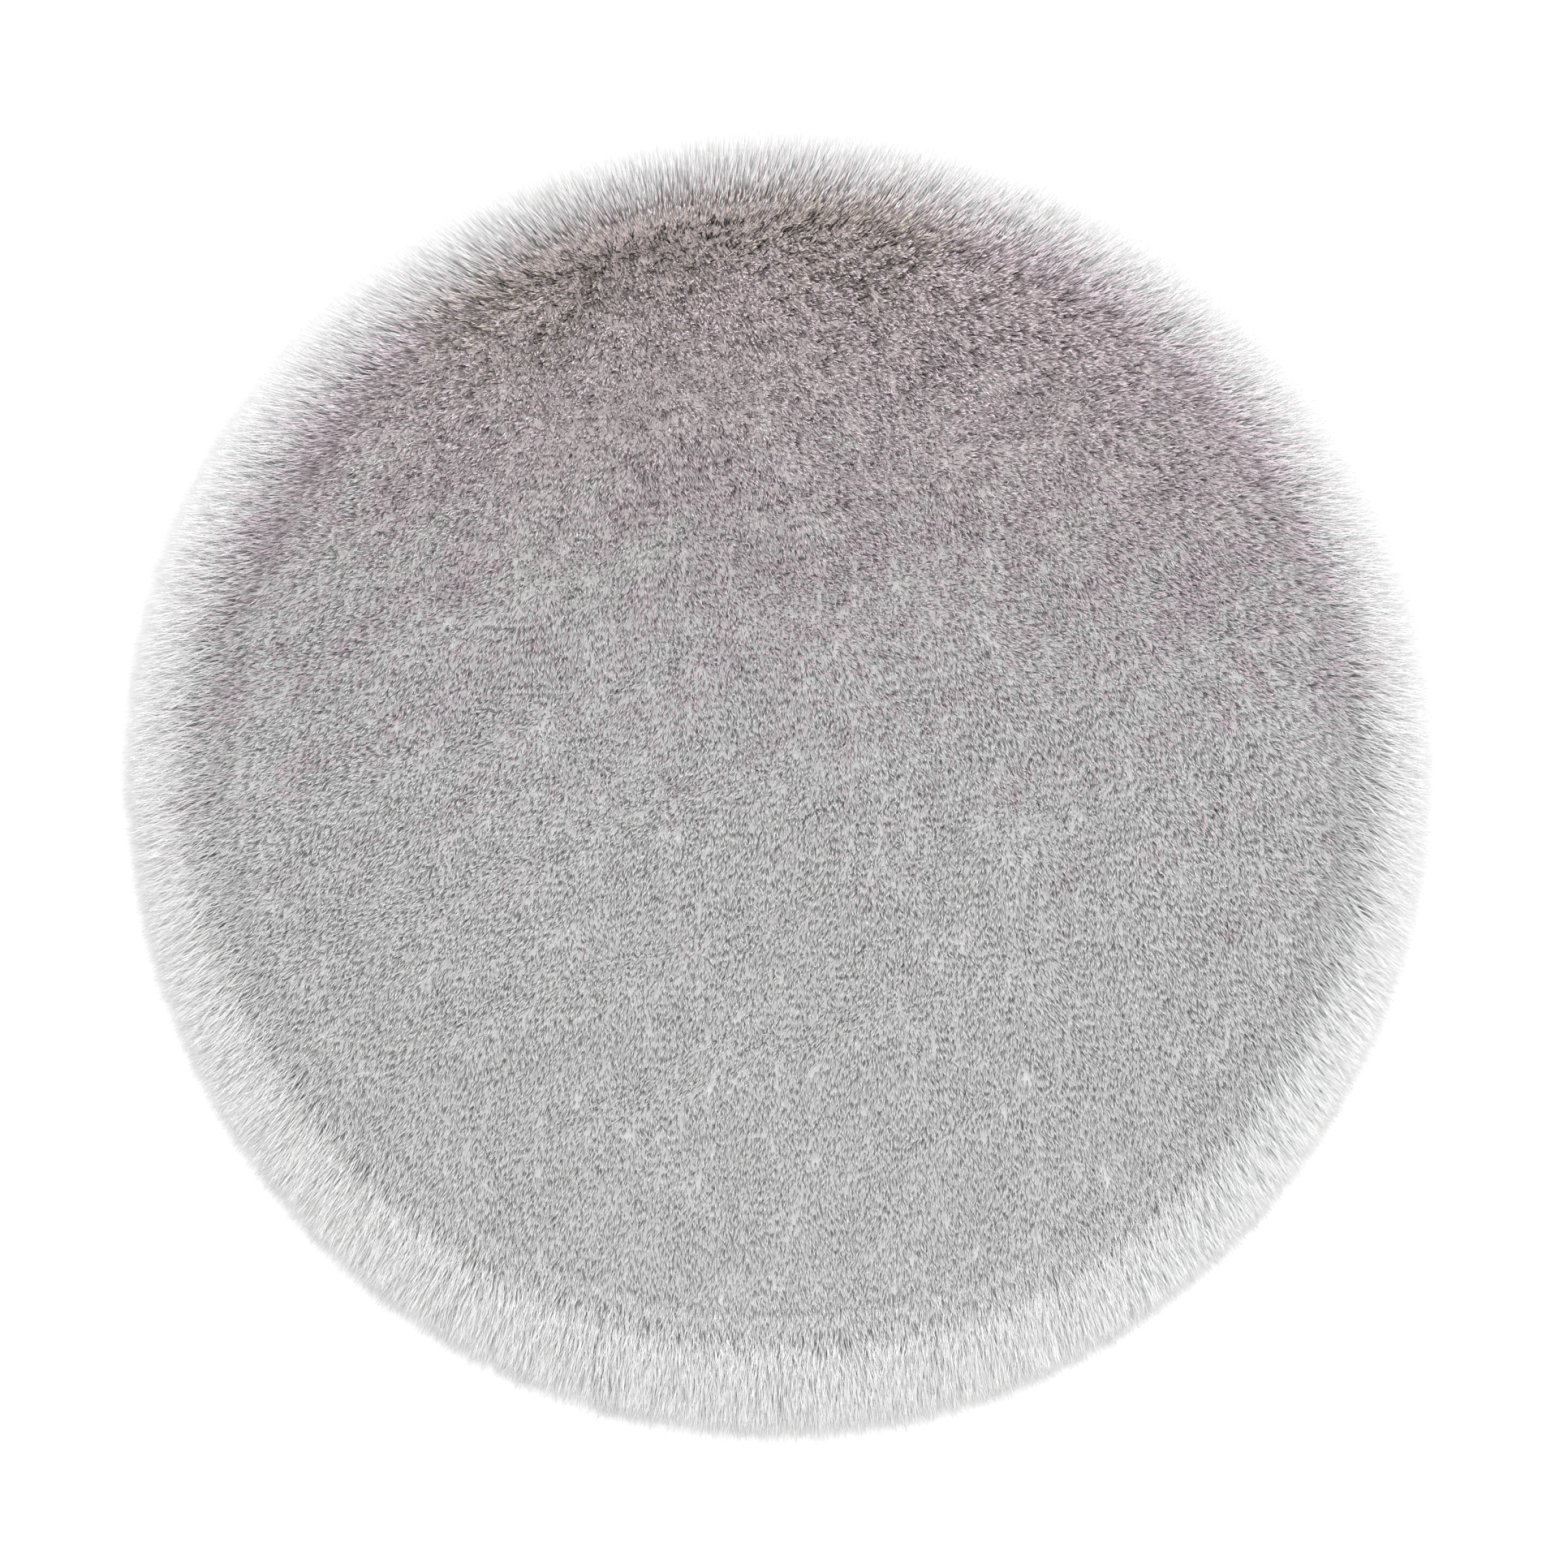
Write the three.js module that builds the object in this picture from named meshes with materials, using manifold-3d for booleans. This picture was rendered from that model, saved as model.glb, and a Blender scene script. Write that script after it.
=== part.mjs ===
// Round chair pad of plush pile cloth: one filled pad with a low crown, a flat underside and a rim of
// soft locks. Millimetres, +Z up. The pad lies on the plane z = 0 and its pile leans towards -Y.

import * as THREE from 'three';
import Module from 'manifold-3d';

const wasm = await Module();
wasm.setup();

// The pad, out to the dense part of its pile.
const padRadius = 171;
const crownHeight = 33;
const rimHeight = 12;
const baseRadius = 151;
const crownFullness = 3.2;
const crownRoundness = 0.56;

// How finely the pad is divided.
const crownRings = 18;
const underEdgeRings = 3;

// Soft lumps of the pile: each row is one wave across the pad.
const lumpWaves = [
  { length: 121, heading: 25, height: 0.9, phase: 40 },
  { length: 88, heading: -52, height: 0.8, phase: 115 },
  { length: 57, heading: 83, height: 0.7, phase: 205 },
  { length: 43, heading: 8, height: 0.6, phase: 300 },
  { length: 38, heading: -71, height: 0.6, phase: 20 },
  { length: 36, heading: 49, height: 0.5, phase: 160 },
];
const rimWaviness = 0.8;

// Locks round the rim, one row for each tier. A lock starts at its root, `rootDepth` inside the pad's
// radius, passes the middle height and ends at the tip height, `reach` outside that radius.
const lockTiers = [
  { count: 60, rootDepth: 17, rootHeight: 17, middleHeight: 20.5, tipHeight: 17, reach: 8.5, turn: 0 },
  { count: 60, rootDepth: 10, rootHeight: 12.5, middleHeight: 12.5, tipHeight: 9, reach: 12.5, turn: 1 / 3 },
  { count: 60, rootDepth: 10, rootHeight: 6, middleHeight: 3.6, tipHeight: 1.6, reach: 9, turn: 2 / 3 },
];
const lockHalfWidth = 6.3;
const lockThickness = 5.2;
const lockUnderShare = 0.42;
const lockMiddleShare = 0.9;
const lockBendShare = 0.7;
const lockUnevenness = 2.4;
const lockHeightUnevenness = 1.3;
const floorClearance = 0.4;

// The longest locks stand out at the upper left of the pad.
const tuftHeading = 154;
const tuftSpread = 24;
const tuftReach = 4;

// How strongly the nap pulls the lock tips towards -Y, at the far side and at the near side.
const napAtFarSide = 0.12;
const napAtNearSide = 0.5;

const degrees = Math.PI / 180;
const fullTurn = 2 * Math.PI;

// A repeatable value from -1 to 1 for a numbered piece.
function uneven(number, use) {
  const wave = Math.sin(number * 12.9898 + use * 78.233) * 43758.5453;
  return 2 * (wave - Math.floor(wave)) - 1;
}

// Radius and height of a ring of the crown, from 0 at its middle to 1 at the rim.
function crownRing(share) {
  const spread = (share + Math.sin(share * (Math.PI / 2))) / 2;
  const rise = (1 - spread ** crownFullness) ** crownRoundness;
  return { radius: padRadius * spread, height: rimHeight + (crownHeight - rimHeight) * rise };
}

// Radius and height of a ring of the drawn-in edge, from 0 at the rim to 1 on the underside.
function underEdgeRing(share) {
  const turn = (1 - share) * (Math.PI / 2);
  const radius = baseRadius + (padRadius - baseRadius) * Math.sin(turn);
  return { radius, height: rimHeight * (1 - Math.cos(turn)) };
}

// Height of the lumps over a place on the pad.
function lumpHeight(x, y) {
  let height = 0;
  for (const wave of lumpWaves) {
    const along = x * Math.cos(wave.heading * degrees) + y * Math.sin(wave.heading * degrees);
    height += wave.height * Math.sin((along / wave.length) * fullTurn + wave.phase * degrees);
  }
  return height;
}

// Raises the lumps on the pad's top and lets its rim waver, while its underside stays flat.
function addLumps(corner) {
  const radius = Math.hypot(corner.x, corner.y);
  const lump = lumpHeight(corner.x, corner.y);
  const onTop = THREE.MathUtils.smoothstep(corner.z, 0, crownHeight);
  const atRim = THREE.MathUtils.smoothstep(radius, baseRadius, padRadius);
  const widening = radius > 0 ? 1 + (rimWaviness * lump * atRim) / radius : 1;
  corner.set(corner.x * widening, corner.y * widening, corner.z + lump * onTop);
}

// A closed manifold solid from its corners and the three corner numbers of each face.
function toSolid(corners, faces) {
  const vertProperties = new Float32Array(corners.flatMap((corner) => corner.toArray()));
  const triVerts = new Uint32Array(faces);
  return new wasm.Manifold(new wasm.Mesh({ numProp: 3, vertProperties, triVerts }));
}

// Corners of one ring, evenly round the pad.
function ringCorners({ radius, height }, count) {
  return Array.from({ length: count }, (_, index) => {
    const turn = (index / count) * fullTurn;
    return new THREE.Vector3(radius * Math.cos(turn), radius * Math.sin(turn), height);
  });
}

// The crown as six wedges whose rings gain one corner a wedge from the middle outwards, so its faces
// are about even in size, then the drawn-in edge and the flat underside.
function padSolid() {
  const corners = [new THREE.Vector3(0, 0, crownHeight)];
  const faces = [];
  const wedges = 6;
  let inner = { start: 0, count: 1 };
  for (let ring = 1; ring <= crownRings; ring += 1) {
    const outer = { start: corners.length, count: wedges * ring };
    corners.push(...ringCorners(crownRing(ring / crownRings), outer.count));
    for (let index = 0; index < outer.count; index += 1) {
      const wedge = Math.floor(index / ring);
      const innerIndex = inner.start + ((index - wedge) % inner.count);
      const nextOuter = outer.start + ((index + 1) % outer.count);
      faces.push(innerIndex, outer.start + index, nextOuter);
      if (index % ring < ring - 1) {
        faces.push(innerIndex, nextOuter, inner.start + ((index - wedge + 1) % inner.count));
      }
    }
    inner = outer;
  }
  for (let ring = 1; ring <= underEdgeRings; ring += 1) {
    const lower = { start: corners.length, count: inner.count };
    corners.push(...ringCorners(underEdgeRing(ring / underEdgeRings), lower.count));
    for (let index = 0; index < lower.count; index += 1) {
      const next = (index + 1) % lower.count;
      faces.push(inner.start + index, lower.start + index, lower.start + next);
      faces.push(inner.start + index, lower.start + next, inner.start + next);
    }
    inner = lower;
  }
  const underMiddle = corners.length;
  corners.push(new THREE.Vector3(0, 0, 0));
  for (let index = 0; index < inner.count; index += 1) {
    faces.push(underMiddle, inner.start + ((index + 1) % inner.count), inner.start + index);
  }
  corners.forEach(addLumps);
  return toSolid(corners, faces);
}

// Extra reach of a lock at a heading near the upper left tuft.
function tuftExtra(heading) {
  const away = THREE.MathUtils.euclideanModulo(heading - tuftHeading + 180, 360) - 180;
  return tuftReach * Math.exp(-((away / tuftSpread) ** 2));
}

// Root, middle and tip of a lock at a heading in degrees.
function lockLine(tier, heading, number) {
  const outward = new THREE.Vector3(Math.cos(heading * degrees), Math.sin(heading * degrees), 0);
  const nearness = (1 - outward.y) / 2;
  const nap = new THREE.Vector3(0, -THREE.MathUtils.lerp(napAtFarSide, napAtNearSide, nearness), 0);
  const lean = outward.clone().add(nap).normalize();
  const reach = tier.reach + tuftExtra(heading) + lockUnevenness * uneven(number, 1);
  const rise = lockHeightUnevenness * uneven(number, 2);
  const root = outward.clone().multiplyScalar(padRadius - tier.rootDepth);
  const tip = root.clone().addScaledVector(lean, tier.rootDepth + reach);
  const middle = root.clone().lerp(tip, lockBendShare);
  root.z = tier.rootHeight;
  middle.z = tier.middleHeight + rise;
  tip.z = Math.max(tier.tipHeight + rise, floorClearance);
  return [root, middle, tip];
}

// A tapering lock with a level underside and a ridge along its back, lying clear of the floor.
function lockSolid(tier, heading, number) {
  const [root, middle, tip] = lockLine(tier, heading, number);
  const across = new THREE.Vector3(-Math.sin(heading * degrees), Math.cos(heading * degrees), 0);
  const corners = [];
  for (const [centre, size] of [[root, 1], [middle, lockMiddleShare]]) {
    const under = Math.max(centre.z - lockThickness * size * lockUnderShare, floorClearance);
    const ridge = under + lockThickness * size;
    const side = across.clone().multiplyScalar(lockHalfWidth * size);
    corners.push(
      new THREE.Vector3(centre.x + side.x, centre.y + side.y, under),
      new THREE.Vector3(centre.x, centre.y, ridge),
      new THREE.Vector3(centre.x - side.x, centre.y - side.y, under),
    );
  }
  const sides = corners.length / 2;
  const tipNumber = corners.length;
  corners.push(tip);
  const faces = [0, 2, 1];
  for (let side = 0; side < sides; side += 1) {
    const next = (side + 1) % sides;
    faces.push(side, next, sides + next);
    faces.push(side, sides + next, sides + side);
    faces.push(sides + side, sides + next, tipNumber);
  }
  return toSolid(corners, faces);
}

function rimLocks() {
  const locks = [];
  for (const tier of lockTiers) {
    for (let index = 0; index < tier.count; index += 1) {
      const number = locks.length;
      const heading = ((index + tier.turn + 0.22 * uneven(number, 3)) / tier.count) * 360;
      locks.push(lockSolid(tier, heading, number));
    }
  }
  return locks;
}

// The pad with its locks, as one geometry with its origin at the middle of its underside.
function furPadGeometry() {
  const solid = wasm.Manifold.union([padSolid(), ...rimLocks()]);
  const joined = solid.getMesh();
  const geometry = new THREE.BufferGeometry();
  geometry.setAttribute('position', new THREE.BufferAttribute(joined.vertProperties, 3));
  geometry.setIndex(new THREE.BufferAttribute(joined.triVerts, 1));
  geometry.computeBoundingBox();
  const { min, max } = geometry.boundingBox;
  geometry.translate(-(min.x + max.x) / 2, -(min.y + max.y) / 2, -min.z);
  geometry.computeVertexNormals();
  return geometry;
}

const plush = new THREE.MeshStandardMaterial({ color: 0xb4b1b0, roughness: 0.92, metalness: 0 });
const furPad = new THREE.Mesh(furPadGeometry(), plush);
furPad.name = 'fur_pad';

const chairPad = new THREE.Group();
chairPad.add(furPad);

export default chairPad;
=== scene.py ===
# Round chair pad of pale grey plush pile: a filled pad and its pile as modelled hairs, from above.

import math

import bpy
import numpy as np
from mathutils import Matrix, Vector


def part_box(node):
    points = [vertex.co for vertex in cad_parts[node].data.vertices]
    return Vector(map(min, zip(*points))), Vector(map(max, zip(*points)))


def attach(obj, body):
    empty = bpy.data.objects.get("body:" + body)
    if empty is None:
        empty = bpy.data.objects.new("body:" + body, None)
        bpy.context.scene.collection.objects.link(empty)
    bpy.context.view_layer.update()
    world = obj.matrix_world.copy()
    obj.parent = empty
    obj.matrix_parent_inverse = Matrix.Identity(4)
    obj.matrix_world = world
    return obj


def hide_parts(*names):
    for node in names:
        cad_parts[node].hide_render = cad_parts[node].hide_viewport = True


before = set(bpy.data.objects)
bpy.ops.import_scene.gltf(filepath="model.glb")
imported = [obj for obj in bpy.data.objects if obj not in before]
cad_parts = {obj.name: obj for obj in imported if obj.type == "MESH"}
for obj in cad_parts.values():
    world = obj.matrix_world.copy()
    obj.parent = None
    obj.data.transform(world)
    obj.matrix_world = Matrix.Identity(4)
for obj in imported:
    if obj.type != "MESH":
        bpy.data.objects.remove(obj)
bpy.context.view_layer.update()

padLow, padHigh = (np.array(corner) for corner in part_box("fur_pad"))
print("frame loaded, pad", np.round(padHigh - padLow, 4))

fullTurn = 2 * math.pi
tiny = 1e-9                    # keeps a division by a length away from nothing


# Shader maths

class Value:
    # A socket that takes part in sums: each operator adds the Math node that it needs.
    def __init__(self, shade, socket):
        self.shade = shade
        self.socket = socket

    def maths(self, operation, *others):
        return self.shade.node("ShaderNodeMath", {"operation": operation}, dict(enumerate((self, *others))))

    def __add__(self, other):
        return self.maths("ADD", other)

    def __sub__(self, other):
        return self.maths("SUBTRACT", other)

    def __rsub__(self, other):
        return self.shade.node("ShaderNodeMath", {"operation": "SUBTRACT"}, {0: other, 1: self})

    def __mul__(self, other):
        return self.maths("MULTIPLY", other)

    def __pow__(self, other):
        return self.maths("POWER", other)

    __radd__ = __add__
    __rmul__ = __mul__


class Shade:
    # One material and its nodes.
    def __init__(self, name):
        self.material = bpy.data.materials.new(name)
        self.material.use_nodes = True
        self.tree = self.material.node_tree
        self.tree.nodes.clear()

    # Any node: its settings first, then a value or a link for each socket. Gives back one output.
    def node(self, kind, settings=None, sockets=None, output=0):
        made = self.tree.nodes.new(kind)
        for name, setting in (settings or {}).items():
            if name == "stops":
                self.setStops(made.color_ramp, setting)
            else:
                setattr(made, name, setting)
        for name, value in (sockets or {}).items():
            if isinstance(value, Value):
                self.tree.links.new(value.socket, made.inputs[name])
            else:
                made.inputs[name].default_value = value
        return Value(self, made.outputs[output]) if len(made.outputs) else made

    def setStops(self, ramp, stops):
        while len(ramp.elements) < len(stops):
            ramp.elements.new(0.5)
        for element, (place, colour) in zip(ramp.elements, stops):
            element.position = place
            element.color = (*colour, 1)

    # A value that runs evenly from 0 to 1 between two ends of another.
    def share(self, value, ends):
        sockets = {"Value": value, "From Min": ends[0], "From Max": ends[1]}
        return self.node("ShaderNodeMapRange", None, sockets)

    def mix(self, amount, first, second, blend="MIX"):
        first, second = ((*colour, 1) if isinstance(colour, tuple) else colour for colour in (first, second))
        settings = {"data_type": "RGBA", "blend_type": blend, "clamp_factor": True}
        return self.node("ShaderNodeMix", settings, {0: amount, 6: first, 7: second}, output=2)

    def finish(self, **sockets):
        names = {name.replace("_", " "): value for name, value in sockets.items()}
        surface = self.node("ShaderNodeBsdfPrincipled", None, names)
        self.node("ShaderNodeOutputMaterial", None, {"Surface": surface})
        return self.material


# The pad, up to the level where its pile is dense

pad = {
    "rimInset": 0.0100,        # from the tips of the pile in to the widest part of the dense pile
    "baseInset": 0.033,        # from the tips in to the flat underside
    "rimHeight": 0.0115,
    "tipRise": 0.0032,         # from the dense pile of the crown up to the top of the hairs
    "lumpHeight": 0.003,       # how far the highest lumps stand above the crown
    "lumpFade": 2,             # power of the height with which the lumps fade down the side
    "fullness": 3.2,           # powers of the crown's superellipse, across and upwards
    "roundness": 0.56,
    "crownSteps": 240,         # points along the section, over the crown and along each part below it
    "edgeSteps": 60,
    "frameStep": 4e-4,         # length of the steps that measure the slope of the pad
    "rings": 60,
    "sides": 180,
}
tipRadius = (padHigh[0] - padLow[0]) / 2
rimRadius = tipRadius - pad["rimInset"]
baseRadius = tipRadius - pad["baseInset"]
crownHeight = padHigh[2] - pad["lumpHeight"] - pad["tipRise"]

# Waves of the filling and the pile, the same as the solid's: length, heading, height, phase.
lumpWaves = np.array([
    (0.121, 25, 0.0009, 40),
    (0.088, -52, 0.0008, 115),
    (0.057, 83, 0.0007, 205),
    (0.043, 8, 0.0006, 300),
    (0.038, -71, 0.0006, 20),
    (0.036, 49, 0.0005, 160),
])


# Half section from the top of the crown, round the rim, to the middle of the underside: its run, radius
# and height. The crown is a superellipse: its rise is one less a power of the radius, to another power.
# The drawn-in edge is a quarter ellipse and the underside a straight line.
def padSection():
    spread = np.sin(np.linspace(0, math.pi / 2, pad["crownSteps"]))
    rise = (1 - spread ** pad["fullness"]) ** pad["roundness"]
    crown = np.stack([rimRadius * spread, pad["rimHeight"] + (crownHeight - pad["rimHeight"]) * rise], 1)
    turn = np.linspace(0, math.pi / 2, pad["edgeSteps"])[1:]
    across = baseRadius + (rimRadius - baseRadius) * np.cos(turn)
    edge = np.stack([across, pad["rimHeight"] * (1 - np.sin(turn))], 1)
    inwards = np.linspace(baseRadius, 0, pad["edgeSteps"])[1:]
    under = np.stack([inwards, np.zeros(len(inwards))], 1)
    section = np.concatenate([crown, edge, under])
    run = np.concatenate([[0], np.cumsum(np.hypot(*np.diff(section, axis=0).T))])
    return run, section[:, 0], section[:, 1]


sectionRun, sectionRadius, sectionHeight = padSection()
edgeRun = sectionRun[np.argmax(sectionHeight <= 0)]


# A point of the pad for a place on its flattened cloth: the distance from the middle is the run along
# the section, and the lumps lift it by a sum of sine waves, times a power of the height's share.
def padPoint(x, y):
    run = np.hypot(x, y)
    radius = np.interp(run, sectionRun, sectionRadius)
    height = np.interp(run, sectionRun, sectionHeight)
    scale = radius / np.maximum(run, tiny)
    point = np.stack([x * scale, y * scale, height], -1)
    length, heading, lift, phase = lumpWaves.T
    heading = np.radians(heading)
    along = point[..., :1] * np.cos(heading) + point[..., 1:2] * np.sin(heading)
    lump = (lift * np.sin(along / length * fullTurn + np.radians(phase))).sum(-1)
    point[..., 2] += lump * np.clip(height / crownHeight, 0, 1) ** pad["lumpFade"]
    return point


# Point, normal and the two directions of the flattened cloth. A direction is the difference of two points
# a small step apart, over the step, and the normal is at right angles to both.
def padFrame(x, y):
    step = pad["frameStep"]
    alongX = (padPoint(x + step, y) - padPoint(x - step, y)) / (2 * step)
    alongY = (padPoint(x, y + step) - padPoint(x, y - step)) / (2 * step)
    return padPoint(x, y), unit(np.cross(alongX, alongY)), alongX, alongY


# Vectors over their lengths.
def unit(vectors):
    return vectors / np.maximum(np.linalg.norm(vectors, axis=-1, keepdims=True), tiny)


# A mesh object from corners, faces of equal size and, for hairs, a UV for each corner of each face.
def meshObject(name, corners, faces, uv=None):
    mesh = bpy.data.meshes.new(name)
    faceSize = faces.shape[1]
    mesh.vertices.add(len(corners))
    mesh.vertices.foreach_set("co", np.ascontiguousarray(corners, dtype=np.float32).ravel())
    mesh.loops.add(faces.size)
    mesh.loops.foreach_set("vertex_index", faces.astype(np.int32).ravel())
    mesh.polygons.add(len(faces))
    mesh.polygons.foreach_set("loop_start", np.arange(0, faces.size, faceSize, dtype=np.int32))
    if uv is not None:
        layer = mesh.uv_layers.new(name="OFBake")
        layer.data.foreach_set("uv", np.ascontiguousarray(uv, dtype=np.float32).ravel())
    mesh.update(calc_edges=True)
    mesh.shade_smooth()
    thing = bpy.data.objects.new(name, mesh)
    bpy.context.scene.collection.objects.link(thing)
    return thing


# The pad as rings at even runs along its section, with corners at even angles round each. Both poles are
# closed by fans of three-cornered faces.
def padBody():
    rings, sides = pad["rings"], pad["sides"]
    run = np.linspace(0, sectionRun[-1], rings + 2)[1:-1]
    turn = np.arange(sides) * fullTurn / sides
    run, turn = np.meshgrid(run, turn, indexing="ij")
    points = padPoint(run * np.cos(turn), run * np.sin(turn)).reshape(-1, 3)
    corners = np.concatenate([points, padPoint(np.zeros(1), np.zeros(1)), [[0, 0, 0]]])
    grid = np.arange(rings * sides).reshape(rings, sides)
    inner, outer = grid[:-1], grid[1:]
    first = np.stack([inner, outer, np.roll(outer, -1, 1)], -1).reshape(-1, 3)
    second = np.stack([inner, np.roll(outer, -1, 1), np.roll(inner, -1, 1)], -1).reshape(-1, 3)
    top, bottom = rings * sides, rings * sides + 1
    crownFan = np.stack([np.full(sides, top), grid[0], np.roll(grid[0], -1)], -1)
    baseFan = np.stack([np.full(sides, bottom), np.roll(grid[-1], -1), grid[-1]], -1)
    return meshObject("pad_body", corners, np.concatenate([first, second, crownFan, baseFan]))


# The filling of the pad

padding = {
    "inset": 0.0026,           # how much lower the crown is before it swells
    "insetWidth": 0.06,        # way in from the rim over which the inset grows,
    "insetStart": 0.35,        # and the share of that way at which it starts
    "sideGrowth": 0.0006,      # what the remeshing takes off the side
    "farDrop": 0.0003,         # how much deeper the filling lies in the pile at the far side,
    "nearRise": 0.0003,        # and how much nearer to the tips it lies at the near side
    "uneven": 0.0001,          # how far the filled crown may stand off the section
    "seamHeight": 0.0125,      # cloth lower than this holds still
    "voxel": 0.0060,
    "restingPart": 3,          # what is lower than a voxel over this rests on the floor
    "pressure": 4.0,
    "frames": 20,
    "limit": 0.0026,           # the furthest that a point may move
}


# One vector for each point of a mesh: its place ("co") or its normal.
def pointVectors(mesh, kind):
    found = np.empty(len(mesh.vertices) * 3, np.float32)
    mesh.vertices.foreach_get(kind, found)
    return found.reshape(-1, 3)


# Keeps the shape that an object's modifiers give it as its own mesh, and takes the modifiers off.
def applyModifiers(thing):
    before = thing.data
    evaluated = thing.evaluated_get(bpy.context.evaluated_depsgraph_get())
    thing.data = bpy.data.meshes.new_from_object(evaluated)
    thing.modifiers.clear()
    bpy.data.meshes.remove(before)


# The shell before it swells: each point moves in along its normal, by an inset that grows evenly away
# from the rim, and the shell is remeshed evenly.
def evenShell(shell):
    place, normal = (pointVectors(shell.data, kind) for kind in ("co", "normal"))
    wayIn = (rimRadius - np.hypot(place[:, 0], place[:, 1])) / padding["insetWidth"]
    inset = padding["inset"] * np.clip(wayIn - padding["insetStart"], 0, 1)
    inset = (inset - padding["sideGrowth"]) * (place[:, 2] > padding["voxel"])
    shell.data.vertices.foreach_set("co", (place - normal * inset[:, None]).ravel())
    remesh = shell.modifiers.new("remesh", "REMESH")
    remesh.mode = "VOXEL"
    remesh.voxel_size = padding["voxel"]
    applyModifiers(shell)


# The shell as cloth swells under pressure. The seam round its side and the underside hold still.
def swell(shell, start):
    seam = shell.vertex_groups.new(name="seam")
    seam.add(np.flatnonzero(start[:, 2] < padding["seamHeight"]).tolist(), 1.0, "REPLACE")
    cloth = shell.modifiers.new("cloth", "CLOTH")
    cloth.settings.vertex_group_mass = "seam"
    cloth.settings.use_pressure = True
    cloth.settings.uniform_pressure_force = padding["pressure"]
    cloth.settings.effector_weights.gravity = 0
    cloth.point_cache.frame_end = padding["frames"]
    for step in range(1, padding["frames"] + 1):
        bpy.context.scene.frame_set(step)
    applyModifiers(shell)
    bpy.context.scene.frame_set(1)


# The swollen points, none moved further than the limit. On the crown each is at the section's height, give
# or take the unevenness, less a drop that grows with y, or with a rise that grows with its square.
def keptToSection(start, swollen):
    move = swollen - start
    moved = np.linalg.norm(move, axis=1, keepdims=True)
    end = start + move * np.minimum(1, padding["limit"] / np.maximum(moved, tiny))
    end[start[:, 2] < padding["voxel"] / padding["restingPart"], 2] = 0
    radius, heading = np.hypot(end[:, 0], end[:, 1]), np.arctan2(end[:, 1], end[:, 0])
    top = sectionRun < rimRadius
    run = np.interp(radius, sectionRadius[top], sectionRun[top])
    level = padPoint(run * np.cos(heading), run * np.sin(heading))[:, 2]
    far = end[:, 1] / rimRadius
    level = level - np.where(far > 0, padding["farDrop"] * far, -padding["nearRise"] * far ** 2)
    uneven = np.clip(end[:, 2] - level, -padding["uneven"], padding["uneven"])
    onCrown = end[:, 2] > padding["seamHeight"]
    end[:, 2] = np.where(onCrown, level + uneven, np.maximum(end[:, 2], 0))
    print("pad filled, points moved", np.round(moved.mean(), 5), "to", np.round(moved.max(), 5))
    return end


def filledPad(shell):
    evenShell(shell)
    start = pointVectors(shell.data, "co").astype(float)
    swell(shell, start)
    end = keptToSection(start, pointVectors(shell.data, "co").astype(float))
    shell.data.vertices.foreach_set("co", end.astype(np.float32).ravel())
    division = shell.modifiers.new("division", "SUBSURF")
    division.levels = division.render_levels = 1
    applyModifiers(shell)
    shell.data.shade_smooth()


# The pile. Angles are in degrees, and "far" and "near" are the pad's sides towards +Y and -Y.

pile = {
    "length": 0.0064,
    "lean": 46,                # from upright, at the middle of the pad
    "brush": 12,               # how much more it leans at the near side, and less at the far side
    "nearTurn": -14,           # by which the nap turns on the near half: more than nothing is to the right,
    "fan": 38,                 # and how much more at the right side, and less at the left
    "parting": 42,             # by which it turns to either side on the far half,
    "farParting": 28,          # and how much more at the far side
    "partingPlace": -0.32,     # the parting's share of the radius
    "partingSharpness": 2.2,
    "partingRise": 3.5,        # how fast the parting takes over past the middle, and its share there
    "partingStart": 0.2,
    "wanderTurn": 7,           # by which the nap turns and leans more or less in slow waves
    "wanderLean": 1.5,
    "rowStretch": 0.45,        # how much shorter a soft row of tips is than it is wide
    "rowRange": (-1.3, 0.8),   # the lowest and the highest that a row goes
    "rowLean": 6,              # by which the lean changes over a row
    "rowLift": 0.06,           # share by which the length changes over a row
    # painted shade: by which the tone changes over a row, darker in its low parts
    "rowPaintedShade": 0.04,
    "twist": 26,               # by which single hairs turn and lean away from their clump,
    "leanSpread": 3,
    "calmRim": 0.2,            # and how much less they do at the rim and at the near side
    "calmNear": 0.5,
    "lengths": (0.94, 1.05),   # range of the lengths of single hairs, and how much it widens at the rim
    "rimLengths": (0.35, 0.1),
    "widths": (0.75, 1.25),
    "rimThinner": 0.25,
    "darkLonger": 0.08,        # how much longer and wider the dark hairs of painted shade are
    "darkWider": 0.5,
    "paleFade": 1.5,           # how fast a kind's paleness fades out over the far half
    "rootSink": 0.0022,
    "rootShift": 0.6,          # how far a root is moved, beside the spacing of the roots
    "turned": (0.35, 0.15),    # how much blades turn about their length, and what the far side adds
    "rimTurned": 0.2,
    "leastTurned": 0.1,
}

clump = {
    "size": 0.0030,
    "margin": 0.12,            # share of a cell that a clump keeps off its side,
    "room": 0.76,              # and the share that it moves in
    "twist": 13,
    "rimTwist": 0.7,           # how much less the clumps turn at the rim
    "lean": 2,
    "length": 0.04,
    "shade": 0.02,
    "gather": 0.15,            # how far a tip is drawn to its clump's tip, give or take the range
    "gatherRange": (0.6, 1.2),
}

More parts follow.
